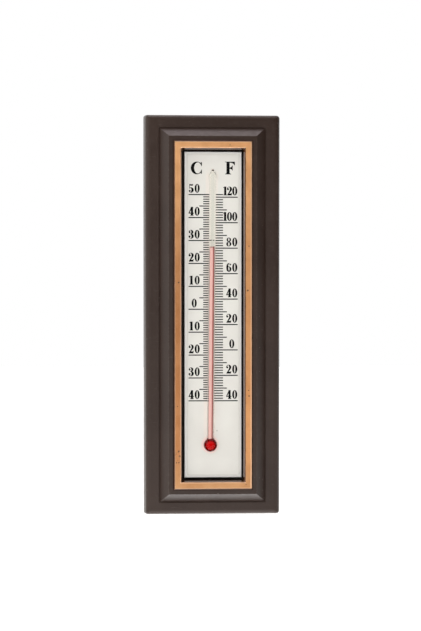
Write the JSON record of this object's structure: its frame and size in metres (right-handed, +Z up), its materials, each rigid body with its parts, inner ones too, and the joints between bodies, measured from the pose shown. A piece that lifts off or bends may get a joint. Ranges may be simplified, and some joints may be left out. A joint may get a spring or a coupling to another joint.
{
  "type": "wall thermometer",
  "caption": "Flat wall thermometer: moulded case with a foiled trim frame round a recessed white scale plate and a sealed spirit-in-glass tube.",
  "frame": {"origin": "centre of the back of the case, on the wall plane", "axes": "+Z up along the scale, +X to the right as seen by the reader, -Y out of the face towards the reader"},
  "size_m": [0.0612, 0.0138, 0.179],
  "materials": {
    "case": "dark brown moulded plastic, satin, with fine grain and scuffs",
    "trim": "copper-coloured hot foil on brown plastic, worn at the edges",
    "cover": "dark brown moulded plastic, matt",
    "screw": "zinc-plated steel",
    "foam": "closed-cell foam tape",
    "plate": "white moulded plastic, slightly glossy, a little yellowed",
    "ink": "black screen-printing ink",
    "glass": "clear drawn glass",
    "spirit": "red dyed spirit",
    "cement": "clear cement, yellowed"
  },
  "bodies": {
    "root": {"front_case": "case", "trim_frame": "trim", "back_cover": "cover", "cover_screw_1": "screw", "cover_screw_2": "screw", "cover_screw_3": "screw", "cover_screw_4": "screw", "plate_pad_upper": "foam", "plate_pad_lower": "foam", "scale_plate": "plate", "celsius_graduations": "ink", "celsius_numerals": "ink", "celsius_letter": "ink", "fahrenheit_graduations": "ink", "fahrenheit_numerals": "ink", "fahrenheit_letter": "ink", "glass_tube": "glass", "spirit_reservoir": "spirit", "spirit_column": "spirit", "calibration_mark": "ink", "tip_cement": "cement", "bulb_cement": "cement"},
    "spirit": {"spirit_meniscus": "spirit"}
  },
  "joints": [
    {"name": "spirit_rise", "type": "slide", "parent": "root", "child": "spirit", "axis": [0.0087, 0, 1], "range_m": [-0.0683, 0.023], "deforming": ["spirit_column"]}
  ]
}
